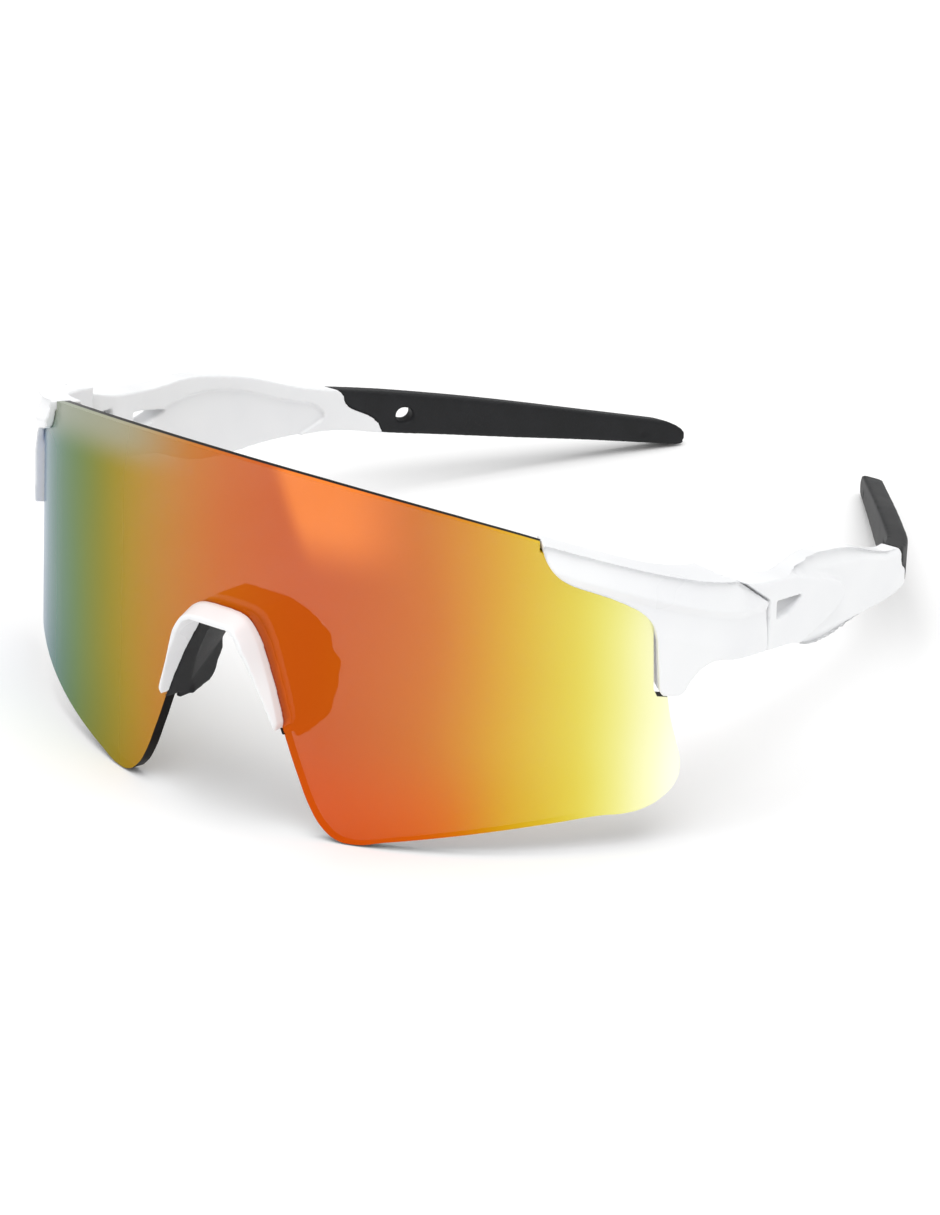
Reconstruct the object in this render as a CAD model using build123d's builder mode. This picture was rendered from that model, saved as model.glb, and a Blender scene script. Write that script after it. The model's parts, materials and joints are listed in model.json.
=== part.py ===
"""Wraparound shield sunglasses as an assembly of separate pieces, in millimetres.

The pieces are drawn in a wearing frame: X to the wearer's left, Y back to the ears, Z up, with the
axis of the curved lens upright and the front of the lens at Y = 0.  At the end every piece is
tipped by STAND_TILT and set down, so the glasses stand open on the floor on the two lens lobes and
the two temple tips, centred on the origin.
"""
import os
from math import acos, cos, degrees, radians, sin, tan

from build123d import *

# ---- driving dimensions ----
LENS_R = 80.0            # radius of the lens, outer face
LENS_T = 2.0             # lens thickness
ARCH_TOP = 17.9          # height of the middle of the lens above the frame line
ARCH_DROP = 0.0025       # fall of the top edge per square millimetre along the lens
SKIN = 1.6               # how far the end piece stands in front of the lens
BACK = 2.0               # how far the end piece reaches behind the lens
STAND_TILT = 5.6         # degrees, nose down when the glasses stand on a table

PIN_X, PIN_Y = 63.6, 42.5   # hinge pin, 42.5 behind the front of the lens
KNUCKLE_R = 2.6
PIN_R = 0.8
BUSH_R = 1.3
RUN_FIT = 0.05           # radial clearance of the bush over the pin
GAP = 0.3                # clearance between the front and a temple
LUG_TOP, LUG_LOW = -1.0, -6.4
HEAD_R, HEAD_T = 1.45, 1.0
NUT_R, NUT_T = 1.6, 1.2

BEND_R = 40.0            # bend of the temple where the soft tip starts
TEMPLE_FRONT = (67.2, 38.0)
TEMPLE_BEND = (58.8, 104.4)
TEMPLE_END = (20.0, 158.5)
WALL_OUT, WALL_IN = 2.2, 2.0   # temple wall outside and inside its centre line
LAYER = 0.5              # step of the raised front layer of the temple
DISH = 0.7               # depth of the hollow on the inner side
TIP_HALF = 1.8           # half thickness of the soft tip
CORE_HALF = 0.4          # half thickness of the steel strip in the tip

CLIP_PROUD = 1.0         # clip lip in front of the lens at its outer edge
CLIP_NOSE = 3.1          # further rise of the clip to its inner edge
PAD_BACK = 15.0          # rear of the nose pad behind the front of the lens
PAD_WALL = 1.8
CORE_INSET = 0.6         # depth of the steel strip under the pad's outer face
CORE_WALL = 0.5

# ---- outlines, wearer's left half ----
TOP_EDGE = [(36.0, 4.7), (40.4, 3.3), (44.5, 1.95), (51, 0.35), (57, -0.6), (60.5, -0.65), (64, -0.5), (68, -0.75),
            (72.2, -1.6), (77.4, -2.8), (83, -4.5), (88, -6.4), (95.5, -9.1), (101.7, -10.6),
            (108, -11.8), (116, -13.2), (130, -16.0), (140, -18.3), (150, -20.6), (164, -24.0)]
LOW_EDGE = [(36.0, -8.7), (40.0, -9.3), (44, -10.0), (50.3, -11.1), (55, -12.0), (60.4, -13.2), (64, -14.7),
            (67.7, -16.0), (72, -16.8), (76.5, -17.1), (83.5, -17.0), (88.3, -17.1), (94, -17.5),
            (99.2, -17.9), (104.1, -18.6), (109.5, -19.8), (116.5, -20.8), (130.4, -22.7),
            (139.8, -23.9), (150, -25.4), (164, -27.5)]
JUNCTION = [(101.4, -7.0), (101.8, -10.6), (102.9, -11.7), (103.3, -13.0), (105.0, -14.8),
            (108.4, -16.8), (109.6, -18.4), (109.4, -22.5)]
TIP_NOSE = [(153.0, -16.0), (155.0, -21.9), (157.2, -23.9), (157.1, -25.7), (153.0, -30.0)]
RAISED = [(57.0, 1.5), (60.0, -1.7), (66.5, -4.0), (72.4, -6.2), (77.2, -8.6), (78.5, -10.6),
          (75.1, -12.3), (68.6, -13.3), (60.8, -14.5)]
DISH_RIM = [(58.5, -6.6), (61.5, -4.9), (68.7, -3.9), (76.3, -5.0), (83.5, -7.4), (92.8, -10.9),
            (98.0, -13.2), (99.2, -15.0), (97.0, -16.4), (92.0, -19.5)]
SLOT_HOLE = [(52.5, -3.6), (52.9, -6.7), (57.5, -6.9), (62.6, -5.5)]


# ---- helpers ----
def trace(*runs):
    """Closed line through runs of points: two points make a line, more make a smooth curve."""
    for i, run in enumerate(runs):
        Line(*run) if len(run) == 2 else Spline(*run)
        nxt = runs[(i + 1) % len(runs)][0]
        if (Vector(*run[-1]) - Vector(*nxt)).length > 1e-6:
            Line(run[-1], nxt)


def slab(plane, depth, *runs):
    """Solid with the outline drawn on a plane, pushed out along its normal."""
    with BuildPart(mode=Mode.PRIVATE) as solid:
        with BuildSketch(plane):
            with BuildLine():
                trace(*runs)
            make_face()
        extrude(amount=depth)
    return solid.part


def side_view(*runs, x_from=5.0, x_to=80.0):
    return slab(Plane.YZ.offset(x_from), x_to - x_from, *runs)


def plan_view(z_from, z_to, *runs):
    return slab(Plane.XY.offset(z_from), z_to - z_from, *runs)


def facing(angle):
    """Plane through the lens axis that faces outward at an angle from straight ahead."""
    a = radians(angle)
    return Plane(origin=(0, LENS_R, 0), x_dir=(cos(a), sin(a), 0), z_dir=(sin(a), -cos(a), 0))


def unrolled(angle, points):
    """Points given by arc length along the lens and height, seen square on at an angle."""
    return [(LENS_R * sin(s / LENS_R - radians(angle)), h) for s, h in points]


def across(points):
    """The same from straight ahead."""
    return unrolled(0, points)


def both(points):
    """A half outline and its mirror image, from left to right."""
    return [(-x, y) for x, y in reversed(points)] + [p for p in points if p[0] > 0]


def arch(s):
    return ARCH_TOP - ARCH_DROP * s * s


def beside_lens(radius, s):
    """Plan point on a circle about the lens axis, by arc length along the lens."""
    return (radius * sin(s / LENS_R), LENS_R - radius * cos(s / LENS_R))


def between(p, q, share_x, share_y):
    return (p[0] + (q[0] - p[0]) * share_x, p[1] + (q[1] - p[1]) * share_y)


def temple_strip(outer, inner, z_from=-32.0, z_to=8.0):
    """Upright sheet along the temple's plan line, between two offsets from it."""
    p0, p1, p2 = (Vector(*p) for p in (TEMPLE_FRONT, TEMPLE_BEND, TEMPLE_END))
    d1, d2 = (p1 - p0).normalized(), (p2 - p1).normalized()
    turn = acos(d1.dot(d2))
    a, b = p1 - d1 * BEND_R * tan(turn / 2), p1 + d2 * BEND_R * tan(turn / 2)
    n1, n2 = Vector(d1.Y, -d1.X), Vector(d2.Y, -d2.X)
    centre = a - n1 * BEND_R
    nm = (n1 + n2).normalized()
    with BuildPart(mode=Mode.PRIVATE) as strip:
        with BuildSketch(Plane.XY.offset(z_from)):
            with BuildLine():
                ends = []
                for off in (outer, -inner):
                    start, finish = p0 + n1 * off, p2 + n2 * off
                    Line(start, a + n1 * off)
                    ThreePointArc(a + n1 * off, centre + nm * (BEND_R + off), b + n2 * off)
                    Line(b + n2 * off, finish)
                    ends.append((start, finish))
                Line(ends[0][0], ends[1][0])
                Line(ends[0][1], ends[1][1])
            make_face()
        extrude(amount=z_to - z_from)
    return strip.part


def tip_plane(y, z):
    """Plane on the outer side of the straight part of the soft tip, facing outward."""
    p1, p2 = Vector(*TEMPLE_BEND), Vector(*TEMPLE_END)
    d = (p2 - p1).normalized()
    p = p1 + d * ((y - p1.Y) / d.Y)
    return Plane(origin=(p.X, p.Y, z), x_dir=(d.X, d.Y, 0), z_dir=(d.Y, -d.X, 0))


def pin_plane(z):
    return Plane(origin=(PIN_X, PIN_Y, z), x_dir=(1, 0, 0), z_dir=(0, 0, 1))


def disc(radius, z_from, z_to):
    """Upright round bar on the hinge pin."""
    with BuildPart(mode=Mode.PRIVATE) as bar:
        with BuildSketch(pin_plane(z_from)):
            Circle(radius)
        extrude(amount=z_to - z_from)
    return bar.part


# ---- shield lens ----
NOTCH = [(4.0, -7.9), (5.6, -9.0), (6.9, -11.0), (9.2, -16.9), (11.2, -23.2), (12.2, -26.0),
         (14.4, -31.5), (16.7, -36.5), (18.7, -39.3), (21.2, -41.0), (24.4, -41.25), (29.3, -40.1),
         (38.6, -38.0), (47.9, -36.0), (55.5, -34.5), (62.4, -33.3), (66.2, -33.0)]
SIDE_ANGLE = degrees(74.0 / LENS_R)
SIDE = [(72.1, -14.0), (72.8, -17.7), (73.8, -21.3), (74.7, -24.6), (74.6, -27.3), (73.2, -29.7),
        (70.8, -31.6), (68.0, -32.7), (64.5, -33.6), (58.0, -36.5)]
TAB = [(51.2, 9.9), (56.0, 8.6), (60.0, 7.2), (67.5, 4.9), (68.9, 3.6)]

front_top = across([(s, arch(s)) for s in range(0, 61, 6)])
front_low = across(NOTCH)
side_tab = unrolled(SIDE_ANGLE, TAB)
side_low = unrolled(SIDE_ANGLE, SIDE)
ledge = unrolled(SIDE_ANGLE, [(69.8, -12.6), (70.4, -13.8)])

with BuildPart() as shield_lens:
    with BuildSketch(Plane.XY.offset(-46)):
        with Locations((0, LENS_R)):
            Circle(LENS_R)
            Circle(LENS_R - LENS_T, mode=Mode.SUBTRACT)
    extrude(amount=70)
    front = slab(Plane.XZ.offset(2), -66, both(front_top), [(90, 10), (90, -33)],
                 front_low[::-1], [(-x, z) for x, z in front_low], [(-90, -33), (-90, 10)])
    add(front, mode=Mode.INTERSECT)
    side = slab(facing(SIDE_ANGLE).offset(-90), 190, [(-150, 60), (side_tab[0][0], 60)],
                side_tab, ledge, side_low, [(side_low[-1][0], -60), (-150, -60)])
    add(side, mode=Mode.INTERSECT)
    mirror(side, about=Plane.YZ, mode=Mode.INTERSECT)

# ---- end pieces ----
END_ANGLE = degrees(65.6 / LENS_R)
RAIL_TOP = [(51.5, 11.35), (54.0, 10.75), (58.0, 9.65), (62.0, 8.55), (66.0, 7.45), (70.0, 6.4),
            (74.0, 5.45), (78.0, 4.6), (82.0, 3.75), (86.0, 2.8), (92.0, 1.0)]
RAIL_LOW = [(51.5, 11.0), (52.3, 8.4), (54.2, 6.1), (59.3, 3.9), (64.7, 1.8), (68.1, -0.5),
            (69.4, -3.3)]
PRONG = [(74.6, -12.7), (76.2, -10.2), (79.0, -8.5), (82.0, -8.8), (86.0, -9.8), (92.0, -11.3)]

CHEEK_OUT, CHEEK_IN = (68.9, 42.0), (60.2, PIN_Y - KNUCKLE_R - GAP)
outer_wall = [beside_lens(LENS_R + SKIN, s) for s in (46.1, 51.7, 57.2, 62.8, 68.4, 72.6)]
outer_wall += [between(outer_wall[-1], CHEEK_OUT, 0.565, 0.33),
               between(outer_wall[-1], CHEEK_OUT, 0.913, 0.64), CHEEK_OUT]
inner_wall = [beside_lens(LENS_R - LENS_T - BACK, s) for s in (46.1, 51.7, 57.2, 62.8, 67.0)]
inner_wall += [between(inner_wall[-1], CHEEK_IN, 0.73, 0.46), CHEEK_IN]
cheek_x = PIN_X + KNUCKLE_R + GAP

with BuildPart() as end_piece_left:
    add(plan_view(-16, 14, outer_wall, [CHEEK_OUT, (67.9, 50.0)], [(cheek_x, 50.0),
                  (cheek_x, PIN_Y - KNUCKLE_R - GAP)], inner_wall[::-1]))
    outline = slab(facing(END_ANGLE).offset(40), 70, unrolled(END_ANGLE, RAIL_TOP),
                   unrolled(END_ANGLE, PRONG)[::-1],
                   unrolled(END_ANGLE, [(73.8, -13.4), (71.0, -13.3)]),
                   unrolled(END_ANGLE, [(70.4, -12.5), (69.6, -3.9)]),
                   unrolled(END_ANGLE, RAIL_LOW)[::-1])
    add(outline, mode=Mode.INTERSECT)
    seam = side_view([(40.2, 9), (40.2, 3.3)], [(50.0, -2.9), (54, -2.9)], [(54, 9), (40.2, 9)])
    add(seam, mode=Mode.SUBTRACT)
    with BuildSketch(pin_plane(LUG_LOW)):
        Circle(KNUCKLE_R)
        with Locations((0.3, -2.3)):
            Rectangle(2 * KNUCKLE_R + 0.6, 4.6)
    extrude(amount=LUG_TOP - LUG_LOW)
    add(disc(BUSH_R, LUG_LOW, LUG_TOP), mode=Mode.SUBTRACT)
    add(shield_lens.part, mode=Mode.SUBTRACT)

with BuildPart() as hinge_bush_left:
    add(disc(BUSH_R, LUG_LOW, LUG_TOP))
    add(disc(PIN_R + RUN_FIT, LUG_LOW, LUG_TOP), mode=Mode.SUBTRACT)

# ---- steel strip inside each soft tip ----
core_mid = [(92, -12.9), (100, -14.2), (106, -15.3), (114.5, -17.0), (130, -19.4), (149, -23.1)]
core_half = [2.6, 2.6, 2.6, 2.6, 1.9, 1.2]
core_top = [(y, z + h) for (y, z), h in zip(core_mid, core_half)]
core_low = [(y, z - h) for (y, z), h in zip(core_mid, core_half)]
HOLE_Y, HOLE_Z = 114.5, -16.9


def oval(width, height, plane):
    with BuildPart(mode=Mode.PRIVATE) as hole:
        with BuildSketch(plane):
            RectangleRounded(width, height, height / 2 - 0.05)
        extrude(amount=6, both=True)
    return hole.part


with BuildPart() as temple_core_left:
    add(temple_strip(CORE_HALF, CORE_HALF))
    add(side_view(core_top, core_low[::-1]), mode=Mode.INTERSECT)
    add(oval(4.2, 3.5, tip_plane(HOLE_Y, HOLE_Z)), mode=Mode.SUBTRACT)

# ---- temples ----
SHOULDER = 50.0 + GAP
tongue_x = PIN_X - KNUCKLE_R
profile = side_view(TOP_EDGE, LOW_EDGE[::-1])
tip_zone = side_view(JUNCTION, [(175, -30), (175, 0)])
front_zone = side_view([(40.6, 12), (40.6, 3.42)], [(SHOULDER, -2.68), (SHOULDER, -20)],
                       [(30, -20), (30, 12)])

with BuildPart() as temple_left:
    add(temple_strip(WALL_OUT - LAYER, WALL_IN))
    with BuildPart(mode=Mode.PRIVATE) as layer:
        add(temple_strip(WALL_OUT, 0))
        add(side_view(RAISED, [(35, -16), (35, 6)]), mode=Mode.INTERSECT)
    add(layer.part)
    add(front_zone, mode=Mode.SUBTRACT)
    with BuildPart(mode=Mode.PRIVATE) as tongue:
        with BuildSketch(pin_plane(-16)):
            Circle(KNUCKLE_R)
        extrude(amount=24)
        add(plan_view(-16, 8, [(tongue_x, PIN_Y), (tongue_x, 46.5)], [(63.6, 59.0), (65.6, 59.0)],
                      [(cheek_x - GAP, SHOULDER + 1), (cheek_x - GAP, PIN_Y)]))
    add(tongue.part)
    add(profile, mode=Mode.INTERSECT)
    add(plan_view(LUG_LOW - GAP, LUG_TOP + GAP, [(58, 38), (cheek_x, 38)],
                  [(cheek_x, PIN_Y + 3.1), (58, PIN_Y + 3.1)]), mode=Mode.SUBTRACT)
    add(slab(Plane.YZ.offset(55), 20, [SLOT_HOLE[0], SLOT_HOLE[1]], [SLOT_HOLE[1], SLOT_HOLE[2]],
             [SLOT_HOLE[2], SLOT_HOLE[3]]), mode=Mode.SUBTRACT)
    with BuildPart(mode=Mode.PRIVATE) as dish:
        add(temple_strip(-(WALL_IN - DISH), 8))
        add(side_view(DISH_RIM, [(60.5, -22), (58.5, -13)]), mode=Mode.INTERSECT)
    add(dish.part, mode=Mode.SUBTRACT)
    add(tip_zone, mode=Mode.SUBTRACT)
    add(temple_core_left.part, mode=Mode.SUBTRACT)
    add(disc(PIN_R, -14, 1.5), mode=Mode.SUBTRACT)
    add(disc(HEAD_R + 0.1, -14, -8.7), mode=Mode.SUBTRACT)
    with BuildSketch(pin_plane(LUG_TOP + GAP)):
        RegularPolygon(NUT_R, 6)
    extrude(amount=NUT_T, mode=Mode.SUBTRACT)

with BuildPart() as temple_tip_left:
    add(temple_strip(TIP_HALF, TIP_HALF))
    add(profile, mode=Mode.INTERSECT)
    add(side_view(TIP_NOSE, [(90, -30), (90, 0)]), mode=Mode.INTERSECT)
    add(tip_zone, mode=Mode.INTERSECT)
    add(oval(3.2, 2.6, tip_plane(HOLE_Y, HOLE_Z)), mode=Mode.SUBTRACT)
    add(temple_core_left.part, mode=Mode.SUBTRACT)
    with BuildSketch(tip_plane(151.6, -23.6).offset(-TIP_HALF)):
        Circle(0.6)
    extrude(amount=0.5, mode=Mode.SUBTRACT)

with BuildPart() as hinge_screw_left:
    add(disc(PIN_R, -8.7, 1.2))
    add(disc(HEAD_R, -8.7 - HEAD_T, -8.7))
    with BuildSketch(pin_plane(-8.7 - HEAD_T)):
        Rectangle(2 * HEAD_R, 0.45)
    extrude(amount=0.5, mode=Mode.SUBTRACT)

with BuildPart() as hinge_nut_left:
    with BuildSketch(pin_plane(LUG_TOP + GAP)):
        RegularPolygon(NUT_R, 6)
        Circle(PIN_R, mode=Mode.SUBTRACT)
    extrude(amount=NUT_T)

# ---- nose clip, pad and its strip ----
CLIP_OUT = [(0, -6.7), (3.7, -6.9), (5.0, -7.4), (6.3, -8.7), (7.5, -10.6), (8.4, -12.7),
            (10.0, -17.0), (11.5, -21.9)]
CLIP_CREST = [(0, -7.9), (3.4, -8.0), (4.9, -8.5), (6.0, -9.7), (8.2, -16.0), (9.4, -21.0)]
CLIP_SLOPE = [(-4.6, -10.0), (-3.7, -13.0), (-3.0, -16.5), (-2.1, -20.8), (-1.2, -24.6)]
IN_FRONT = [(3.75, -8.5), (5.3, -9.3), (8.95, -15.9), (10.95, -21.0), (12.65, -26.0), (13.3, -30)]
IN_REAR = [(2.85, -9.8), (4.0, -11.1), (6.75, -16.5), (8.85, -21.0), (11.05, -26.0), (11.7, -30)]
COLLAR = [(3.7, -8.7), (5.7, -11.0), (8.3, -16.7), (10.4, -21.5), (11.4, -24.6)]


def bell(points, foot):
    """Closed outline that is open wide at the foot, from half an outline."""
    return [both(points), [(points[-1][0], foot), (-points[-1][0], foot)]]


def straight(points, foot):
    half = points + [(points[-1][0] + 0.8, foot)]
    ring = [(-x, z) for x, z in reversed(half)] + half
    return [[ring[i], ring[i + 1]] for i in range(len(ring) - 1)]


def clip_section(top, corner, toe):
    """Outline of the clip across the nose: a smooth arch, then two short edges at each foot."""
    (x1, z1), (x2, z2) = corner, toe
    return [both(top), [top[-1], corner], [corner, toe], [(-x2, z2), (-x1, z1)],
            [(-x1, z1), (-top[-1][0], top[-1][1])]]


def sketch_runs(plane, runs):
    with BuildSketch(plane, mode=Mode.PRIVATE) as flat:
        with BuildLine():
            trace(*runs)
        make_face()
    return flat.sketch


def tunnel(front_half, rear_half, y_front, y_rear):
    """Solid between two arch outlines, one in front of the other."""
    with BuildPart(mode=Mode.PRIVATE) as solid:
        for half, y in ((front_half, y_front), (rear_half, y_rear)):
            with BuildSketch(Plane.XZ.offset(-y)):
                Polygon(*[(-x, z) for x, z in reversed(half)], *half, align=None)
        loft(ruled=True)
    return solid.part


clip_rim = clip_section(CLIP_OUT, (11.8, -23.1), (11.4, -24.3))
clip_crest = clip_section(CLIP_CREST, (9.9, -22.8), (9.7, -24.2))
clip_bore = tunnel(IN_FRONT, IN_REAR, -6, 6)

with BuildPart() as nose_clip:
    add(slab(Plane.XZ.offset(-3.9), 3.9 + CLIP_PROUD, *clip_rim))
    loft(sections=[sketch_runs(Plane.XZ.offset(CLIP_PROUD), clip_rim).face(),
                   sketch_runs(Plane.XZ.offset(CLIP_PROUD + CLIP_NOSE), clip_crest).face()],
         ruled=True)
    add(clip_bore, mode=Mode.SUBTRACT)
    add(side_view(CLIP_SLOPE, [(-8, -24.6), (-8, -10)], x_from=-20, x_to=20), mode=Mode.SUBTRACT)
    add(slab(Plane.XZ.offset(-5), 4.5, *straight(COLLAR, -30)), mode=Mode.SUBTRACT)
    add(shield_lens.part, mode=Mode.SUBTRACT)

PAD_FRONT = [(4.6, -7.0), (7.6, -10.6), (11.9, -24.0), (12.6, -27.5)]
PAD_REAR = [(4.3, -7.4), (9.2, -10.6), (12.8, -16.8), (13.0, -27.5)]
PAD_EDGE = [(PAD_BACK - back, z) for back, z in
            ((4.9, -4.0), (3.6, -7.6), (2.1, -9.6), (1.6, -11.2), (0.6, -12.8), (1.1, -15.0),
             (0.5, -16.9), (1.5, -18.9), (1.4, -20.6), (2.5, -22.4), (3.0, -24.2), (6.4, -25.7),
             (9.0, -26.3), (13.0, -26.5))]

def thinner(half, wall):
    """Half arch moved inward by a wall thickness, open at the foot."""
    (x0, z0), (x1, z1), (x2, z2), (x3, z3) = half
    return [(x0 - 0.5 * wall, z0 - wall), (x1 - 0.95 * wall, z1 - 0.55 * wall),
            (x2 - 1.06 * wall, z2), (x3 - wall, z3 - 2)]


with BuildPart() as nose_core:
    add(tunnel(thinner(PAD_FRONT, CORE_INSET), thinner(PAD_REAR, CORE_INSET), 3.9, PAD_BACK + 1))
    add(tunnel(thinner(PAD_FRONT, CORE_INSET + CORE_WALL),
               thinner(PAD_REAR, CORE_INSET + CORE_WALL), 3.8, PAD_BACK + 2), mode=Mode.SUBTRACT)
    add(slab(Plane.YZ.offset(-20), 40, [(7.0, -4.0), (9.5, -4.0)], [(9.5, -23.4), (7.0, -23.4)]),
        mode=Mode.INTERSECT)

with BuildPart() as nose_pad:
    add(tunnel(PAD_FRONT, PAD_REAR, 3.9, PAD_BACK + 1))
    add(slab(Plane.YZ.offset(-20), 40, PAD_EDGE, [PAD_EDGE[-1], (2.0, -4.0)]),
        mode=Mode.INTERSECT)
    add(slab(Plane.XZ.offset(-4.4), 3.9, *straight(COLLAR, -25.4)))
    add(tunnel(thinner(PAD_FRONT, PAD_WALL), thinner(PAD_REAR, PAD_WALL), 3.8, PAD_BACK + 2),
        mode=Mode.SUBTRACT)
    add(clip_bore, mode=Mode.SUBTRACT)
    add(shield_lens.part, mode=Mode.SUBTRACT)
    add(nose_clip.part, mode=Mode.SUBTRACT)
    add(nose_core.part, mode=Mode.SUBTRACT)

# ---- stand the open glasses on the floor and write every piece ----
lefts = {"end_piece": end_piece_left, "hinge_bush": hinge_bush_left, "temple": temple_left,
         "temple_tip": temple_tip_left, "temple_core": temple_core_left,
         "hinge_screw": hinge_screw_left, "hinge_nut": hinge_nut_left}
pieces = {"shield_lens": shield_lens.part, "nose_clip": nose_clip.part, "nose_pad": nose_pad.part,
          "nose_core": nose_core.part}
for name, piece in lefts.items():
    pieces[name + "_left"] = piece.part
    pieces[name + "_right"] = mirror(piece.part, about=Plane.YZ)

tipped = {name: Rot(-STAND_TILT, 0, 0) * piece for name, piece in pieces.items()}
boxes = [piece.bounding_box() for piece in tipped.values()]
front_y, rear_y = min(b.min.Y for b in boxes), max(b.max.Y for b in boxes)
floor_z = min(b.min.Z for b in boxes)
print("placement", -(front_y + rear_y) / 2, -floor_z)

os.makedirs("parts", exist_ok=True)
for name, piece in tipped.items():
    placed = Pos(0, -(front_y + rear_y) / 2, -floor_z) * piece
    placed.label = name
    export_step(placed, f"parts/{name}.step")
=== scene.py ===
# %% [markdown]
# # Wraparound sport sunglasses
# One curved mirrored shield in a white frame, with a white clip and a soft black pad at the nose,
# and two temples that fold on small hinges.  The measured model is loaded first and stays as it is.
# Each visible piece is then either given a better finish, or rebuilt with softer edges and finer
# shape in the very same place.

import json
from math import atan2, degrees, hypot, radians

import bmesh
import bpy
from mathutils import Matrix, Quaternion, Vector


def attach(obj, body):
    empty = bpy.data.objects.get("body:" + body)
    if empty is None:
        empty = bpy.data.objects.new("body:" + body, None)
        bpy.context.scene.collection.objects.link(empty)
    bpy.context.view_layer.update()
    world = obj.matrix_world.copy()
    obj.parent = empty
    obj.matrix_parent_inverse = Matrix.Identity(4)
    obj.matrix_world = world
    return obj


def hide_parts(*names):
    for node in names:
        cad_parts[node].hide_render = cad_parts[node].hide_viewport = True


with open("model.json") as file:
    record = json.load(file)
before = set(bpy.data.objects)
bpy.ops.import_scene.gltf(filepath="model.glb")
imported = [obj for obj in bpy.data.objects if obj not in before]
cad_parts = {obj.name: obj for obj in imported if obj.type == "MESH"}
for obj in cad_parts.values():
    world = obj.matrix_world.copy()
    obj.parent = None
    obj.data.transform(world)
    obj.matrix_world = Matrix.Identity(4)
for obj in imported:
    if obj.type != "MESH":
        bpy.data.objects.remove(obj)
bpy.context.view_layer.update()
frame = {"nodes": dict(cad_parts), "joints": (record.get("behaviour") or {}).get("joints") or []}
MM = 0.001

# %% [markdown]
# ## The wearing frame
# The glasses stand on a table, tipped a little nose down.  Shapes are easier to give as they are
# worn: X to the wearer's left, Y back to the ears, Z up, with the axis of the lens upright and the
# front of the lens at Y = 0.  The left hinge tells where that frame lies, because its pin is
# parallel to the axis of the lens.

# %% From the wearing frame to the table
PIN_AT = Vector((63.6, 42.5, -3.7))          # the left hinge pin, worn, in millimetres
hinge = next(j for j in frame["joints"] if j["name"] == "fold_left")
tilt = atan2(hinge["axis"][1], hinge["axis"][2])
tip_over = Matrix.Rotation(-tilt, 4, "X")
offset = Vector(hinge["pos_m"]) - tip_over @ (PIN_AT * MM)
WORN_TO_TABLE = Matrix.Translation(offset) @ tip_over @ Matrix.Scale(MM, 4)
TABLE_TO_WORN = WORN_TO_TABLE.inverted()
print("nose-down tilt:", round(degrees(tilt), 2), "degrees")


def worn(x, y, z):
    """A point of the table frame, from millimetres in the wearing frame."""
    return WORN_TO_TABLE @ Vector((x, y, z))


# %% [markdown]
# ## Number maths in a node tree
# A finish is easier to read as a formula than as a web of Math nodes.  This small class wraps one
# output socket, so that plain operators make the Math nodes.  The same nodes could be made one by
# one and linked by hand, but the formula would be lost among the links.

# %% A socket that takes plain operators
class Number:
    def __init__(self, tree, socket):
        self.tree, self.socket = tree, socket

    def _math(self, operation, *others):
        node = self.tree.nodes.new("ShaderNodeMath")
        node.operation = operation
        for slot, value in zip(node.inputs, (self, *others)):
            if isinstance(value, Number):
                self.tree.links.new(value.socket, slot)
            else:
                slot.default_value = value
        return Number(self.tree, node.outputs[0])

    def __add__(self, other):
        return self._math("ADD", other)

    def __sub__(self, other):
        return self._math("SUBTRACT", other)

    def __mul__(self, other):
        return self._math("MULTIPLY", other)

    def __truediv__(self, other):
        return self._math("DIVIDE", other)

    def arctan2(self, other):
        return self._math("ARCTAN2", other)

    def squared(self):
        return self * self

    def root(self):
        return self._math("SQRT")

    def rise(self, start, end):
        """0 before start, 1 after end, smooth between them."""
        node = self.tree.nodes.new("ShaderNodeMapRange")
        node.interpolation_type = "SMOOTHERSTEP"
        self.tree.links.new(self.socket, node.inputs["Value"])
        node.inputs["From Min"].default_value = start
        node.inputs["From Max"].default_value = end
        return Number(self.tree, node.outputs["Result"])


print("node numbers also know:", ", ".join(n for n in vars(Number) if n[0] != "_"))

# %% [markdown]
# ## Tools for finishes
# Every finish is a Principled surface.  Colours are written as they look on a screen, two hex
# digits for each of red, green and blue, and turned into the linear values that the shader wants.

# %% Screen colours and plain materials
def paint(code):
    """Linear colour from a screen colour such as "d1743b"."""
    screen = [int(code[i:i + 2], 16) / 255 for i in (0, 2, 4)]
    return [c / 12.92 if c <= 0.04045 else ((c + 0.055) / 1.055) ** 2.4 for c in screen] + [1.0]


def finish_named(name, colour, roughness, **constants):
    """New material and its Principled node, with plain values set on their own sockets."""
    material = bpy.data.materials.new(name)
    material.use_nodes = True
    surface = material.node_tree.nodes["Principled BSDF"]
    surface.inputs["Base Color"].default_value = paint(colour)
    surface.inputs["Roughness"].default_value = roughness
    for socket, value in constants.items():
        surface.inputs[socket.replace("_", " ")].default_value = value
    return material, surface


print("middle grey is", round(paint("808080")[0], 3), "in linear light")

# %% [markdown]
# ## Detail without image files
# Grain, unevenness and colour runs come from noise on Object coordinates, so the detail sticks to
# the piece, has a size in millimetres and needs no unwrapping.  An image texture would need both an
# unwrapped mesh and a file.

# %% Coordinates, noise, bump and colour mixing
def object_point(tree, in_worn_frame=False):
    """Object coordinates; turned and moved into the wearing frame, still in metres, if asked."""
    point = tree.nodes.new("ShaderNodeTexCoord").outputs["Object"]
    if not in_worn_frame:
        return point
    mapping = tree.nodes.new("ShaderNodeMapping")
    mapping.inputs["Rotation"].default_value = (tilt, 0, 0)
    mapping.inputs["Location"].default_value = -(tip_over.inverted() @ offset)
    tree.links.new(point, mapping.inputs["Vector"])
    return mapping.outputs["Vector"]


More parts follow.
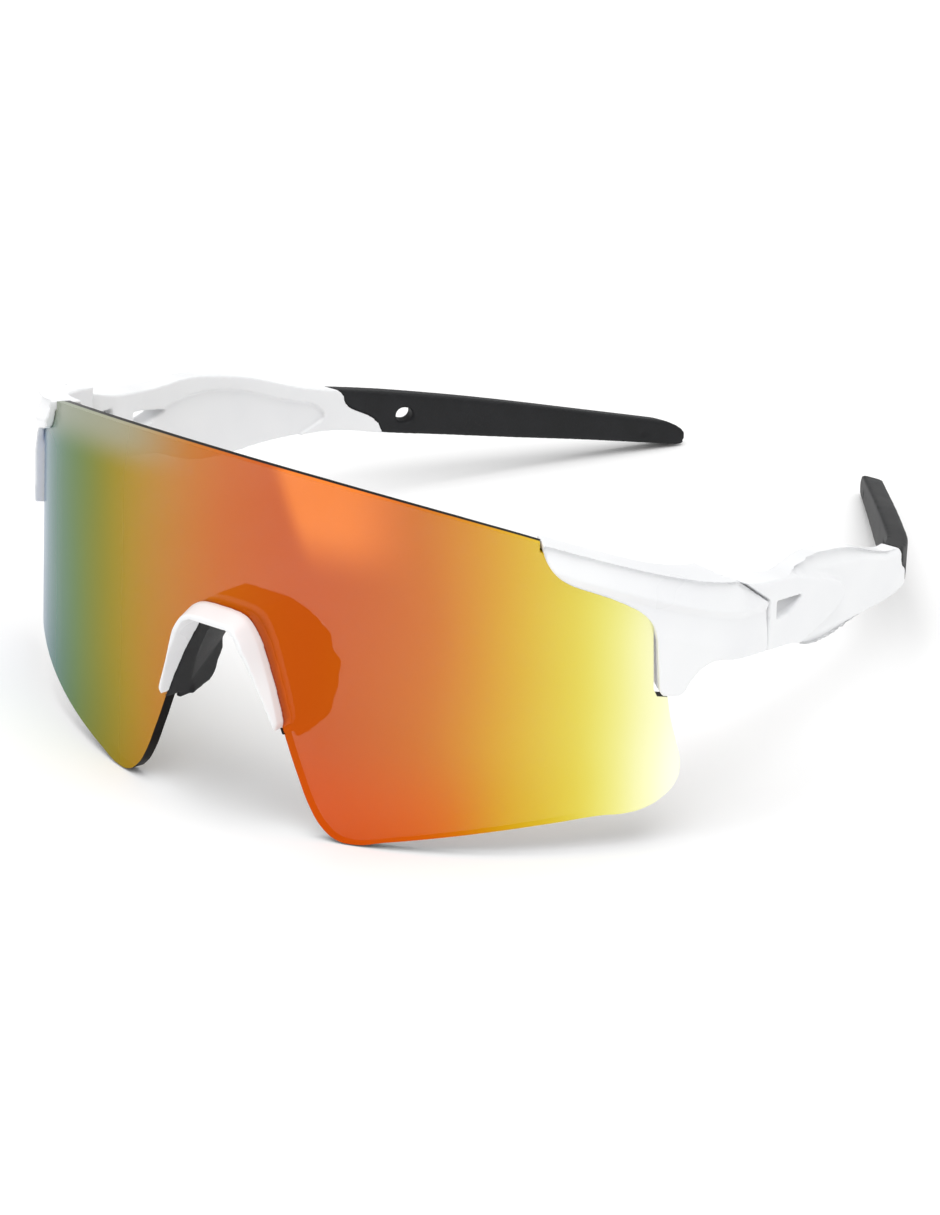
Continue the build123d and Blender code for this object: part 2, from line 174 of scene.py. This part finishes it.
def noise(tree, size_mm, detail=3.0, roughness=0.5):
    """Noise whose features are about so many millimetres across."""
    node = tree.nodes.new("ShaderNodeTexNoise")
    node.inputs["Scale"].default_value = 1 / (size_mm * MM)
    node.inputs["Detail"].default_value = detail
    node.inputs["Roughness"].default_value = roughness
    tree.links.new(object_point(tree), node.inputs["Vector"])
    return Number(tree, node.outputs["Fac"])


def bump(tree, surface, height, depth_mm):
    node = tree.nodes.new("ShaderNodeBump")
    node.inputs["Distance"].default_value = depth_mm * MM
    tree.links.new(height.socket, node.inputs["Height"])
    tree.links.new(node.outputs["Normal"], surface.inputs["Normal"])


def colours(tree, number, stops):
    """Colour ramp through (position, screen colour) stops."""
    ramp = tree.nodes.new("ShaderNodeValToRGB")
    ramp.color_ramp.interpolation = "B_SPLINE" if len(stops) > 4 else "LINEAR"
    ends = ramp.color_ramp.elements
    for i, (place, code) in enumerate(stops):
        stop = ends[i] if i < 2 else ends.new(place)
        stop.position, stop.color = place, paint(code)
    tree.links.new(number.socket, ramp.inputs["Fac"])
    return ramp.outputs["Color"]


def mix(tree, factor, first, second):
    """Colour between two sockets or screen colours."""
    node = tree.nodes.new("ShaderNodeMix")
    node.data_type = "RGBA"
    tree.links.new(factor.socket, node.inputs["Factor"])
    for slot, value in (("A", first), ("B", second)):
        socket = next(s for s in node.inputs if s.name == slot and s.type == "RGBA")
        if isinstance(value, str):
            socket.default_value = paint(value)
        else:
            tree.links.new(value, socket)
    return next(s for s in node.outputs if s.type == "RGBA")


def report(material):
    print(material.name + ":", len(material.node_tree.nodes), "nodes")


# %% [markdown]
# ## White moulded plastic
# The frame, temples and clip are one glossy white plastic.  Up close it has a faint ripple from the
# mould and its gloss varies a little where it is handled, so the roughness follows a slow noise
# and a very low bump follows a finer one.  The white stays just under full white, or the facets
# would all look alike.

# %% White plastic
white, surface = finish_named("white_plastic", "f2f3f5", 0.3, Coat_Weight=0.2,
                              Coat_Roughness=0.15, Specular_IOR_Level=0.5)
tree = white.node_tree
handled = noise(tree, 14, detail=2)
tree.links.new(colours(tree, handled, [(0.3, "f1f2f4"), (0.7, "f6f7f8")]),
               surface.inputs["Base Color"])
tree.links.new((handled * 0.12 + 0.24).socket, surface.inputs["Roughness"])
bump(tree, surface, noise(tree, 0.6, detail=2), 0.004)
report(white)

# %% [markdown]
# ## Soft black rubber
# The tips and the nose pad are matt, with a fine grain from the etched mould, a slow unevenness in
# how dark they look, and paler dust caught in the grain.

# %% Black rubber
rubber, surface = finish_named("black_rubber", "17181a", 0.6, Specular_IOR_Level=0.3)
tree = rubber.node_tree
worn_patch, grain = noise(tree, 9, detail=4), noise(tree, 0.35, detail=4, roughness=0.65)
blotch = worn_patch * 0.75 + grain * 0.25
tree.links.new(colours(tree, blotch, [(0.3, "0e0f10"), (0.72, "212225")]),
               surface.inputs["Base Color"])
tree.links.new((worn_patch * 0.2 + grain * 0.1 + 0.42).socket, surface.inputs["Roughness"])
bump(tree, surface, grain, 0.05)
report(rubber)

# %% [markdown]
# ## Small metal pieces
# The screws, nuts and the strips in the soft pieces are plain steel and the bushes are brass.  They
# hardly show, but turned metal has fine lines round it and a slightly uneven shine.

# %% Steel and brass
metals = {}
for name, dark, pale in (("steel", "8f9196", "b9bbc0"), ("brass", "a98642", "cfae66")):
    metal, surface = finish_named(name, pale, 0.3, Metallic=1.0)
    tree = metal.node_tree
    streak = noise(tree, 0.5, detail=5, roughness=0.7)
    tree.links.new(colours(tree, streak, [(0.3, dark), (0.7, pale)]), surface.inputs["Base Color"])
    tree.links.new((streak * 0.25 + 0.2).socket, surface.inputs["Roughness"])
    bump(tree, surface, streak, 0.01)
    metals[name] = metal
    report(metal)

# %% [markdown]
# ## Where on the lens
# The coating changes colour round the shield.  A real coating does that by the angle of the light,
# but then the colours would slide about as the view turns.  Here they follow the distance along the
# curve, worked out from the angle about the axis of the lens, so they stay put from every side.

# %% Distance along the lens, height and depth, as node numbers
LENS_R = 80.0                         # millimetres, outer face
HALF_RUN = 75                         # millimetres along the curve, from the middle to one side


def axis_triangle(tree):
    """Across, back from the axis and up, in metres, of a point of the lens."""
    split = tree.nodes.new("ShaderNodeSeparateXYZ")
    tree.links.new(object_point(tree, in_worn_frame=True), split.inputs[0])
    across, behind, up = (Number(tree, out) for out in split.outputs)
    return across, behind * -1 + LENS_R * MM, up


def along_and_up(tree):
    """Distance along the lens to the wearer's left, and height, in millimetres."""
    across, to_axis, up = axis_triangle(tree)
    return across.arctan2(to_axis) * LENS_R, up / MM


def depth_in_lens(tree):
    """Distance behind the front face, in millimetres."""
    across, to_axis, _ = axis_triangle(tree)
    return (across.squared() + to_axis.squared()).root() / MM * -1 + LENS_R


print("half the lens turns", round(degrees(HALF_RUN / LENS_R), 1), "degrees about the axis")

# %% [markdown]
# ## The mirror coating
# From the wearer's right to the left it runs blue, green, gold, orange, yellow and nearly white.  A
# grey haze lies on the upper right, a deeper glow along the lower left, and a painted reflection of
# a lamp near the top, left of the middle: a bright patch with a clear right edge.  The lens is
# slightly see-through, so the black nose pad shows behind it as a deeper orange.

# %% Colours of the coating
COATING = [(-75, "44599c"), (-67, "255a8e"), (-60, "186478"), (-50, "2c6a56"), (-40, "57782a"),
           (-32, "7a7e10"), (-24, "a08600"), (-16, "b47c00"), (-8, "c06e00"), (0, "c66004"),
           (14, "c34e0c"), (24, "c45806"), (34, "ca6802"), (42, "d18806"), (50, "d8ae14"),
           (58, "dccb40"), (65, "e6e484"), (71, "f6f6cc"), (75, "ffffea")]
ARCH_TOP, ARCH_DROP = 17.89, 0.0025   # top of the lens, and its fall per square millimetre


def coating_colour(tree, along, up, drift):
    """Colour run with the haze, the low glow and the painted lamp reflection laid over it."""
    place = (along + (drift - 0.5) * 6 + HALF_RUN) / (2 * HALF_RUN)
    run = colours(tree, place, [((s + HALF_RUN) / (2 * HALF_RUN), code) for s, code in COATING])
    # each overlay is a product of rises: from its first number to its second, in millimetres
    below_top = up * -1 + ARCH_TOP - along.squared() * ARCH_DROP
    haze = below_top.rise(9, 0) * along.rise(-2, -30) * 0.75
    hazed = mix(tree, haze, run, "a3a494")
    low_glow = up.rise(-18, -40) * along.rise(4, 18) * along.rise(52, 34) * 0.5
    glowing = mix(tree, low_glow, hazed, "e05208")
    # painted reflection of a lamp: a bright orange patch near the top, with a clear right edge
    painted_lamp_reflection = up.rise(0, 12) * (along + up * 0.4).rise(14, 19) * along.rise(36, 18) * 0.75
    return mix(tree, painted_lamp_reflection, glowing, "ff8a2c")


print("coating:", len(COATING), "colours over", 2 * HALF_RUN, "mm")

# %% [markdown]
# ## Front, back and rim
# The three faces of the lens share the colour run.  The front is mirror-like, less so at the far
# right, where a real mirror seen at a flat angle would only turn pale.  The back is a dark tint.
# The cut edge is nearly black; along the top only its rear part is, because the front corner is
# rounded and catches the colour.

# %% Mirror coating, tinted back and dark rim
def rim_darkness(tree, up):
    """1 on the dark part of the cut edge."""
    rear = depth_in_lens(tree).rise(0.95, 1.15)
    return (up.rise(2, -2) + rear).rise(0, 1)


def lens_finish(name, alpha, deepen, roughness, metal):
    """Lens material; deepen mixes in brown, and full alpha means the rim."""
    material, surface = finish_named(name, "d1743b", roughness, Metallic=metal, Alpha=alpha,
                                     Specular_IOR_Level=0.06)
    tree = material.node_tree
    along, up = along_and_up(tree)
    drift = noise(tree, 30, detail=1)
    base = coating_colour(tree, along, up, drift)
    if metal:
        shine = along.rise(-62, -6) * (metal - 0.1) + 0.1
        tree.links.new(shine.socket, surface.inputs["Metallic"])
        dense = (along.rise(-8, -34) + along.rise(50, 66)) * (1 - alpha) + alpha
        tree.links.new(dense.socket, surface.inputs["Alpha"])
    if deepen:
        base = mix(tree, drift * 0.1 + deepen, base, "4a2206")
    if alpha == 1:
        base = mix(tree, rim_darkness(tree, up), base, "0c0704")
    tree.links.new(base, surface.inputs["Base Color"])
    tree.links.new((drift * 0.05 + roughness).socket, surface.inputs["Roughness"])
    report(material)
    return material


coating = lens_finish("mirror_coating", 0.9, 0, 0.16, 0.8)
lens_back = lens_finish("tinted_back", 0.45, 0.75, 0.12, 0)
lens_rim = lens_finish("dark_rim", 1.0, 0, 0.3, 0)

# %% [markdown]
# ## The shield lens
# A real shield lens is cut or moulded from a sheet that is bent one way only, so it is made here
# in the same order: draw it flat, then bend it.  Drawn flat, its shape is one plain outline.  The
# knots are smooth, apart from the corners of the tab that hides behind each end piece.

# %% Flat outline of the lens, left half, as (distance along, height)
NOTCH = [(4.0, -7.9), (5.6, -9.0), (6.9, -11.0), (9.2, -16.9), (11.2, -23.2), (12.2, -26.0),
         (14.4, -31.5), (16.7, -36.5), (18.7, -39.3), (21.2, -41.0), (24.4, -41.25), (29.3, -40.1),
         (38.6, -38.0), (47.9, -36.0), (55.5, -34.5), (62.4, -33.3), (66.3, -33.05), (69.6, -32.2),
         (72.2, -30.6), (74.2, -28.2), (74.75, -25.4), (73.8, -21.3), (72.8, -17.7), (72.1, -14.0)]
TAB = [(70.4, -13.8), (69.8, -12.6), (68.9, 3.6), (67.5, 4.9), (60.0, 7.2), (51.2, 9.9)]
TOP = [(51.2, 11.3)] + [(s, ARCH_TOP - ARCH_DROP * s * s) for s in range(48, -1, -6)]


def flat_outline():
    """Curve object round the whole sheet: straight at the tab's corners, smooth elsewhere."""
    half = [(p, False) for p in NOTCH[:-1]] + [(p, True) for p in [NOTCH[-1], *TAB, TOP[0]]]
    half += [(p, False) for p in TOP[1:-1]]
    whole = half + [(TOP[-1], False)] + [((-x, z), corner) for (x, z), corner in reversed(half)]
    curve = bpy.data.curves.new("lens_outline", "CURVE")
    curve.dimensions, curve.fill_mode, curve.resolution_u = "2D", "NONE", 8
    spline = curve.splines.new("BEZIER")
    spline.bezier_points.add(len(whole) - 1)
    spline.use_cyclic_u = True
    for knot, ((x, z), corner) in zip(spline.bezier_points, whole):
        knot.co = (x, z, 0)
        knot.handle_left_type = knot.handle_right_type = "VECTOR" if corner else "AUTO"
    return bpy.data.objects.new("lens_outline", curve)


outline = flat_outline()
bpy.context.scene.collection.objects.link(outline)
depsgraph = bpy.context.evaluated_depsgraph_get()
ring = bpy.data.meshes.new_from_object(outline.evaluated_get(depsgraph))
bpy.data.objects.remove(outline)
print("lens outline:", len(ring.vertices), "points")

# %% [markdown]
# ## A sheet that can bend
# One big face can't bend.  The sheet is cut into narrow upright strips, which keeps the curve
# smooth, and across as well, so that no face is a long sliver.  Subdividing would also give enough
# points, but would round off the outline.

# %% Cut the sheet into small faces
STRIP, ROW = 1.5, 3                   # millimetres


def cut(sheet, place, across):
    """Cut the whole sheet along a line through the place, at right angles to across."""
    bmesh.ops.bisect_plane(sheet, geom=sheet.verts[:] + sheet.edges[:] + sheet.faces[:],
                           plane_co=place, plane_no=across, dist=1e-4)


sheet = bmesh.new()
sheet.from_mesh(ring)
bmesh.ops.remove_doubles(sheet, verts=sheet.verts, dist=0.01)
bmesh.ops.contextual_create(sheet, geom=sheet.edges[:])
reach = int(HALF_RUN / STRIP)
for k in range(-reach, reach + 1):
    cut(sheet, (k * STRIP, 0, 0), (1, 0, 0))
for h in range(-40, 18, ROW):
    cut(sheet, (0, h, 0), (0, 1, 0))
lens_mesh = bpy.data.meshes.new("lens_shell")
sheet.to_mesh(lens_mesh)
sheet.free()
lens = bpy.data.objects.new("lens_shell", lens_mesh)
bpy.context.scene.collection.objects.link(lens)
print("lens sheet:", len(lens_mesh.polygons), "faces")


# %% [markdown]
# ## Bending with Geometry Nodes
# Bending is a rule, so nodes do it: each point's distance along the sheet over the radius is its
# angle about the axis, and sine and cosine give the point on the cylinder.  The radius is a named
# input, so another base curve is one number away.  A Simple Deform modifier bends too, but by an
# angle over the whole width, which would have to be worked out again for each change.

# %% Node tree that bends a sheet
def group_math(tree, operation, first, second=None):
    node = tree.nodes.new("ShaderNodeMath")
    node.operation = operation
    for slot, value in zip(node.inputs, (first, second)):
        if value is None:
            continue
        if isinstance(value, (int, float)):
            slot.default_value = value
        else:
            tree.links.new(value, slot)
    return node.outputs[0]


def bend_tree():
    tree = bpy.data.node_groups.new("bend_round_cylinder", "GeometryNodeTree")
    tree.interface.new_socket("Geometry", in_out="INPUT", socket_type="NodeSocketGeometry")
    radius = tree.interface.new_socket("Radius", in_out="INPUT", socket_type="NodeSocketFloat")
    tree.interface.new_socket("Geometry", in_out="OUTPUT", socket_type="NodeSocketGeometry")
    source, sink = tree.nodes.new("NodeGroupInput"), tree.nodes.new("NodeGroupOutput")
    place = tree.nodes.new("GeometryNodeInputPosition")
    split, join = tree.nodes.new("ShaderNodeSeparateXYZ"), tree.nodes.new("ShaderNodeCombineXYZ")
    tree.links.new(place.outputs[0], split.inputs[0])
    r = source.outputs["Radius"]
    angle = group_math(tree, "DIVIDE", split.outputs["X"], r)
    across = group_math(tree, "MULTIPLY", group_math(tree, "SINE", angle), r)
    ahead = group_math(tree, "MULTIPLY", group_math(tree, "COSINE", angle), r)
    tree.links.new(across, join.inputs["X"])
    tree.links.new(group_math(tree, "SUBTRACT", r, ahead), join.inputs["Y"])
    tree.links.new(split.outputs["Y"], join.inputs["Z"])
    move = tree.nodes.new("GeometryNodeSetPosition")
    tree.links.new(source.outputs["Geometry"], move.inputs["Geometry"])
    tree.links.new(join.outputs[0], move.inputs["Position"])
    realize = tree.nodes.new("GeometryNodeRealizeInstances")
    coat = tree.nodes.new("GeometryNodeSetMaterial")
    coat.inputs["Material"].default_value = coating
    tree.links.new(move.outputs[0], realize.inputs[0])
    tree.links.new(realize.outputs[0], coat.inputs["Geometry"])
    tree.links.new(coat.outputs[0], sink.inputs[0])
    return tree, radius.identifier


tree, radius_input = bend_tree()
print("bend tree:", len(tree.nodes), "nodes")

# %% [markdown]
# ## The bend, applied
# The result of the nodes is kept as the mesh itself, because it then moves from flat millimetres
# to its place on the table, tipped a little nose down.

# %% Bend the sheet and set it in its place
bend = lens.modifiers.new("bend", "NODES")
bend.node_group = tree
bend[radius_input] = LENS_R


def settle(obj):
    """Replace an object's mesh by what its modifiers make, and remove them."""
    depsgraph = bpy.context.evaluated_depsgraph_get()
    mesh = bpy.data.meshes.new_from_object(obj.evaluated_get(depsgraph))
    obj.modifiers.clear()
    obj.data = mesh
    return mesh


settle(lens)
lens.data.transform(WORN_TO_TABLE)
print("bent lens:", len(lens.data.vertices), "points")

# %% [markdown]
# ## Thickness and rim
# Solidify gives the sheet its two millimetres, inward from the mirror face, and its material
# offsets give the back and the cut edge their own finishes.  A small bevel makes the fine line of
# light that a polished rim has; without it the edge would look cut from paper.

# %% Thick lens with a bevelled rim
LENS_T, RIM = 2.0, 0.45               # millimetres: thickness, and width of the bevel
shell = bmesh.new()
shell.from_mesh(lens.data)
middle = worn(0, LENS_R, 0)
if sum(f.normal.dot(f.calc_center_median() - middle) for f in shell.faces) < 0:
    bmesh.ops.reverse_faces(shell, faces=shell.faces)
for face in shell.faces:
    face.smooth = True
shell.to_mesh(lens.data)
shell.free()
lens.data.materials.clear()
for material in (coating, lens_back, lens_rim):
    lens.data.materials.append(material)
thick = lens.modifiers.new("thickness", "SOLIDIFY")
thick.thickness, thick.offset = LENS_T * MM, -1
thick.use_even_offset = True
thick.material_offset, thick.material_offset_rim = 1, 2
rim = lens.modifiers.new("rim", "BEVEL")
rim.width, rim.segments = RIM * MM, 3
rim.limit_method, rim.angle_limit = "ANGLE", radians(50)
rim.harden_normals = True
settle(lens)
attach(lens, "front")
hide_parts("shield_lens")
print("lens:", len(lens.data.polygons), "faces")


# %% [markdown]
# ## Softening moulded pieces
# Moulded plastic and rubber have no sharp corners.  A merged copy of the measured piece is remeshed
# into small even faces and smoothed, which rounds every edge by about the same amount, much as a
# mould does.  A Bevel modifier would be lighter, but it fails where many small faces meet, as they
# do on a curved cut.  Finer shape, such as a facet or a hollow, is then carved by moving points, in
# the wearing frame and as if each piece were on the left.

# %% Copy, remesh, carve and smooth
PASSES_AFTER_CARVING = 3


def carve_points(mesh, carve):
    """Move each point by what carve says for its place and normal, both worn and mirrored left."""
    side = 1 if sum(v.co.x for v in mesh.vertices) > 0 else -1
    normals = [n.vector.copy() for n in mesh.vertex_normals]
    for point, normal in zip(mesh.vertices, normals):
        p = TABLE_TO_WORN @ point.co
        n = (tip_over.inverted() @ normal.to_4d()).to_3d()
        p.x, n.x = p.x * side, n.x * side
        move = carve(p, n)
        if move is not None:
            p += move
            p.x *= side
            point.co = WORN_TO_TABLE @ p


def smooth(piece, passes):
    soft = piece.modifiers.new("soft", "SMOOTH")
    soft.factor, soft.iterations = 0.5, passes
    return settle(piece)


def softened(node, name, body, material, voxel_mm, passes, carve=None):
    """Smooth remeshed copy of a measured piece, in its place."""
    mesh = bpy.data.meshes.new(name)
    work = bmesh.new()
    work.from_mesh(frame["nodes"][node].data)
    bmesh.ops.remove_doubles(work, verts=work.verts, dist=1e-6)
    work.to_mesh(mesh)
    work.free()
    piece = bpy.data.objects.new(name, mesh)
    bpy.context.scene.collection.objects.link(piece)
    remesh = piece.modifiers.new("even", "REMESH")
    remesh.mode, remesh.voxel_size, remesh.adaptivity = "VOXEL", voxel_mm * MM, 0
    mesh = smooth(piece, passes)
    if carve:
        carve_points(mesh, carve)
        mesh = smooth(piece, PASSES_AFTER_CARVING)
    mesh.materials.clear()
    mesh.materials.append(material)
    for face in mesh.polygons:
        face.use_smooth = True
        face.material_index = 0
    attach(piece, body)
    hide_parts(node)
    print(name + ":", len(mesh.polygons), "faces")


print("measured pieces:", len(frame["nodes"]))

# %% [markdown]
# ## Curves to carve by
# A ridge or a crease is given by a few heights along the piece, with straight runs between them,
# and an eased step blends one shape into the next.

# %% Straight runs and eased steps
def line_through(points):
    """Function that follows straight runs through (place, value) points."""
    def value(t):
        if t <= points[0][0]:
            return points[0][1]
        for (t0, v0), (t1, v1) in zip(points, points[1:]):
            if t <= t1:
                return v0 + (v1 - v0) * (t - t0) / (t1 - t0)
        return points[-1][1]
    return value


def eased(t):
    """0 up to 0, 1 from 1, smooth between them."""
    t = min(max(t, 0.0), 1.0)
    return t * t * (3 - 2 * t)


print("an eased step at a quarter:", round(eased(0.25), 3))

# %% [markdown]
# ## End pieces
# Each end piece holds a top corner of the lens, with a prong that reaches down beside it.  Its
# outer face has a soft ridge.  The part above leans back and catches more light than the part
# below, which is what shows the ridge on a white piece.

# %% End pieces with a leaning upper facet
FACING_OUT = 0.2                      # least outward share of the normal on an outer face
end_top = line_through([(51.5, 11.3), (58, 9.6), (66, 7.4), (74, 5.4), (82, 3.8), (92, 1.0)])
end_ridge = line_through([(50, 8.6), (56, 6.4), (60, 5.2), (68, 2.8), (76, 0.6), (84, -1.6),
                          (92, -3.4)])
LEAN, HOLLOW = 1.25, 0.5              # millimetres, at the top edge and just below the ridge
HOLLOW_AT, HOLLOW_FADE = 1.3, 4.5     # how far below the ridge it is deepest, and fades out
ARC_ENDS, ALONG_PER_Y = 36, 0.74      # behind this Y the wall is straight, and so is the measure
TURN_STARTS, TURN = 35, 5             # where the outward direction turns to the straight wall's


def lean_back(p, n):
    """Push the outer face in above the ridge, and a little just below it."""
    out = Vector((p.x, p.y - LENS_R, 0)).normalized()
    if p.y > TURN_STARTS:
        out = out.lerp(Vector((1, 0.12, 0)), eased((p.y - TURN_STARTS) / TURN)).normalized()
    if n.dot(out) < FACING_OUT:
        return None
    along = LENS_R * atan2(p.x, LENS_R - min(p.y, ARC_ENDS)) + max(p.y - ARC_ENDS, 0) * ALONG_PER_Y
    top, ridge = end_top(along), end_ridge(along)
    if p.z > ridge:
        return out * (-LEAN * min((p.z - ridge) / max(top - ridge, 0.5), 1))
    below = ridge - p.z
    if below < HOLLOW_AT:
        return out * (-HOLLOW * (below / HOLLOW_AT))
    return out * (-HOLLOW * max(1 - (below - HOLLOW_AT) / HOLLOW_FADE, 0))


for side in ("left", "right"):
    softened(f"end_piece_{side}", f"end_piece_soft_{side}", "front", white,
             0.25, 3, lean_back)

# %% [markdown]
# ## Temples
# The white part of each temple is a flat paddle.  On the outside a raised front layer, the tongue,
# ends in a curve, and the top and the low bulge lean inward from soft creases.

# %% Creases and tongue of a temple, as (back, up)
paddle_top = line_through([(50, 0.5), (57, -0.6), (64, -0.5), (72, -1.6), (83, -4.5), (95, -9.0),
                           (108, -11.8)])
paddle_crease = line_through([(50, 0.0), (53, -0.4), (58, -1.4), (67, -3.2), (80, -6.1), (87, -7.6),
                              (94, -9.9), (108, -13.0)])
bulge_crease = line_through([(60, -13.0), (84, -16.4), (90, -17.6)])
TONGUE = [(50.0, 1.5), (57.0, 1.0), (60.0, -1.7), (66.5, -4.0), (72.4, -6.2), (77.2, -8.6),
          (78.5, -10.6), (75.1, -12.3), (68.6, -13.3), (60.8, -14.5), (50.0, -16.0)]


def beyond_tongue(y, z):
    """Distance outside the raised front layer, 0 inside it."""
    inside, nearest = False, 99.0
    for (y0, z0), (y1, z1) in zip(TONGUE, TONGUE[1:] + TONGUE[:1]):
        if (z0 > z) != (z1 > z) and y < y0 + (z - z0) * (y1 - y0) / (z1 - z0):
            inside = not inside
        run = (y1 - y0) ** 2 + (z1 - z0) ** 2
        t = min(max(((y - y0) * (y1 - y0) + (z - z0) * (z1 - z0)) / run, 0), 1)
        nearest = min(nearest, hypot(y - y0 - t * (y1 - y0), z - z0 - t * (z1 - z0)))
    return 0.0 if inside else nearest


print("tongue reaches back to", max(y for y, z in TONGUE), "mm")

# %% [markdown]
# ## Carving the temples
# The outer face moves inward by three amounts that add up: above the upper crease, below the lower
# one, and all round the tongue, whose edge is left standing.  The first fades out at both ends and
# the last towards the tip, so that they don't end in a step, and the low one ends with its bulge.

# %% Temples with creased facets
UPPER_LEAN, LOWER_LEAN, TONGUE_STEP = 0.95, 0.9, 0.45     # all in millimetres
BULGE_FALL, TONGUE_EDGE = 2.5, 0.9    # height over which the bulge leans, width of the step
HINGE_END, TIP_END, STEP_END = 52, 106, 96                # how far back each stretch reaches
INWARD = Vector((-1, -0.13, 0))       # square to the temple, which runs a little inward


def crease(p, n):
    """Lean the outer face inward above the upper crease and below the lower one."""
    if n.x < FACING_OUT or p.y < HINGE_END:
        return None
    above = (p.z - paddle_crease(p.y)) / max(paddle_top(p.y) - paddle_crease(p.y), 0.5)
    fade = eased((p.y - HINGE_END - 2) / 8) * eased((TIP_END - p.y) / 12)
    below = (bulge_crease(p.y) - p.z) / BULGE_FALL if 60 < p.y < 90 else 0
    amount = UPPER_LEAN * min(max(above, 0), 1) * fade + LOWER_LEAN * min(max(below, 0), 1)
    if p.y < STEP_END:
        step = eased(beyond_tongue(p.y, p.z) / TONGUE_EDGE)
        amount += TONGUE_STEP * step * eased((STEP_END - p.y) / 16)
    return INWARD * amount if amount > 0 else None


for side in ("left", "right"):
    softened(f"temple_{side}", f"temple_soft_{side}", f"temple_{side}_arm", white,
             0.26, 3, crease)

# %% [markdown]
# ## Soft tips
# The black sleeves are slipped over the steel strips of the temples.  Soft rubber is rounder than
# the white plastic, so they are smoothed for longer.

# %% Soft tips
for side in ("left", "right"):
    softened(f"temple_tip_{side}", f"temple_tip_soft_{side}", f"temple_{side}_arm", rubber,
             0.3, 22)

# %% [markdown]
# ## Nose clip and pad
# The clip is a small raised arch over the notch, with tight edges, so its faces are finer.  The pad
# behind it is soft, with a wavy rear edge, and it is what rests on the nose.

# %% Nose clip and pad
softened("nose_clip", "nose_clip_soft", "front", white, 0.2, 4)
softened("nose_pad", "nose_pad_soft", "front", rubber, 0.25, 6)

# %% [markdown]
# ## Hardware
# The screws, nuts, bushes and strips sit inside other pieces.  They keep their measured shape,
# which is already right at that size, and only get their metal.

# %% Metal for the small pieces
for name, node in frame["nodes"].items():
    if name.startswith(("hinge_screw", "hinge_nut", "temple_core", "nose_core")):
        finish = metals["steel"]
    elif name.startswith("hinge_bush"):
        finish = metals["brass"]
    else:
        continue
    for slot in node.material_slots:
        slot.material = finish
    print(name, "is", finish.name)

# %% [markdown]
# ## Floor
# A pale, plain floor lets the shape and its soft shadow show.  It lies a hair below the glasses, so
# that the two surfaces don't flicker where they touch.

# %% Floor
FLOOR_SIZE, HAIR = 6, 0.00005         # metres: its width, and how far it lies below the glasses
bpy.ops.mesh.primitive_plane_add(size=FLOOR_SIZE, location=(0, 0, -HAIR))
floor = bpy.context.object
floor.name = "floor"
floor_paint, surface = finish_named("pale_floor", "f4f4f4", 0.6, Specular_IOR_Level=0.2)
tree = floor_paint.node_tree
tree.links.new(colours(tree, noise(tree, 400, detail=1), [(0.3, "fafafa"), (0.7, "fcfcfc")]),
               surface.inputs["Base Color"])
floor.data.materials.append(floor_paint)
print("floor:", FLOOR_SIZE, "m across")

# %% [markdown]
# ## Light
# White glasses on white need care: an even white surround sets the general level, a very wide sun
# from above acts as a sky and keeps the floor brighter than the upright faces, and two soft lamps
# give the front and the side a gentle slope of light.  The Standard view keeps the colours of the
# coating as they were chosen.

# %% Light
scene = bpy.context.scene
scene.view_settings.view_transform = "Standard"
SURROUND, SKY = 0.55, 2.0             # brightness of the surround and of the sky light
world = bpy.data.worlds.new("surround")
world.use_nodes = True
background = world.node_tree.nodes["Background"]
background.inputs["Color"].default_value = (1, 1, 1, 1)
background.inputs["Strength"].default_value = SURROUND
scene.world = world


def softbox(name, place, aim, size, watts):
    light = bpy.data.lights.new(name, "AREA")
    light.shape, light.size, light.size_y, light.energy = "RECTANGLE", *size, watts
    lamp = bpy.data.objects.new(name, light)
    lamp.location = place
    lamp.rotation_euler = (Vector(aim) - Vector(place)).to_track_quat("-Z", "Y").to_euler()
    scene.collection.objects.link(lamp)


sun = bpy.data.lights.new("sky_light", "SUN")
sun.energy, sun.angle = SKY, radians(60)
sky = bpy.data.objects.new("sky_light", sun)
sky.rotation_euler = Vector((0.1, -0.14, 1.0)).to_track_quat("Z", "Y").to_euler()
scene.collection.objects.link(sky)
softbox("front_left", (-0.5, -0.8, 0.6), (0, 0, 0.03), (0.5, 0.5), 0.8)
softbox("right_side", (0.9, -0.2, 0.45), (0, 0, 0.03), (0.35, 0.35), 0.25)

# %% [markdown]
# ## Camera
# The camera stands a little above the glasses, off the wearer's left front corner, with a long
# lens, as for a product picture.  Its place and direction are given in the wearing frame, where the
# lens is upright, and then tipped over with it.

# %% Camera
EYE = (436.9, -548.3, 270.2)          # millimetres, wearing frame
LOOK = Vector((-0.5396, 0.7581, -0.3662))
ROLL, FOCAL = -1.19, 144.55           # degrees, and millimetres on a 36 mm sensor
look = (tip_over @ LOOK.to_4d()).to_3d().normalized()
camera = bpy.data.objects.new("camera", bpy.data.cameras.new("camera"))
camera.data.lens = FOCAL
camera.data.clip_start, camera.data.clip_end = 0.01, 50
camera.location = worn(*EYE)
camera.rotation_mode = "QUATERNION"
camera.rotation_quaternion = (Quaternion(look, radians(-ROLL))
                              @ look.to_track_quat("-Z", "Y"))
scene.collection.objects.link(camera)
scene.camera = camera
print("camera at", [round(v, 3) for v in camera.location])

# %% [markdown]
# The finished pieces have to stay inside the box of the measured model.
